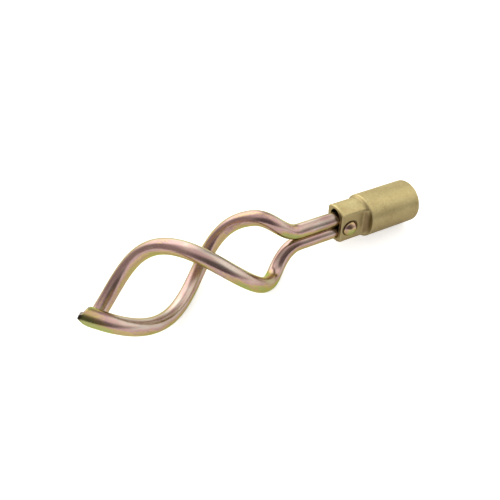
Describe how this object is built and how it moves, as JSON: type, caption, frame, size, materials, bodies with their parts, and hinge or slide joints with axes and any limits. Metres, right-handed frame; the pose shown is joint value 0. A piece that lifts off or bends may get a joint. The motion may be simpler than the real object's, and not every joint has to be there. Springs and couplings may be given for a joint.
{
  "type": "drill paint mixer",
  "caption": "Spiral paint-mixing attachment: bent round rods riveted in the slotted neck of a brass socket that screws onto a threaded drive shaft.",
  "frame": {"origin": "centre of the socket's drive mouth, on the socket's axis", "axes": "+X along the socket's axis, out of the drive mouth and away from the rods; +Z in the direction in which the rods are stacked in the slot, upper rod on top; the rivet lies along Y"},
  "size_m": [0.1785, 0.0428, 0.0427],
  "materials": {
    "socket_brass": "matt, finely mottled, as cast and tumbled",
    "rod_steel": "yellow-passivated zinc plate, glossy, with faint rose and green tints",
    "rivet_steel": "yellow-passivated zinc plate, glossy"
  },
  "bodies": {
    "root": {"socket": "socket_brass", "upper_rod": "rod_steel", "lower_rod": "rod_steel", "cross_rivet": "rivet_steel"}
  },
  "joints": []
}
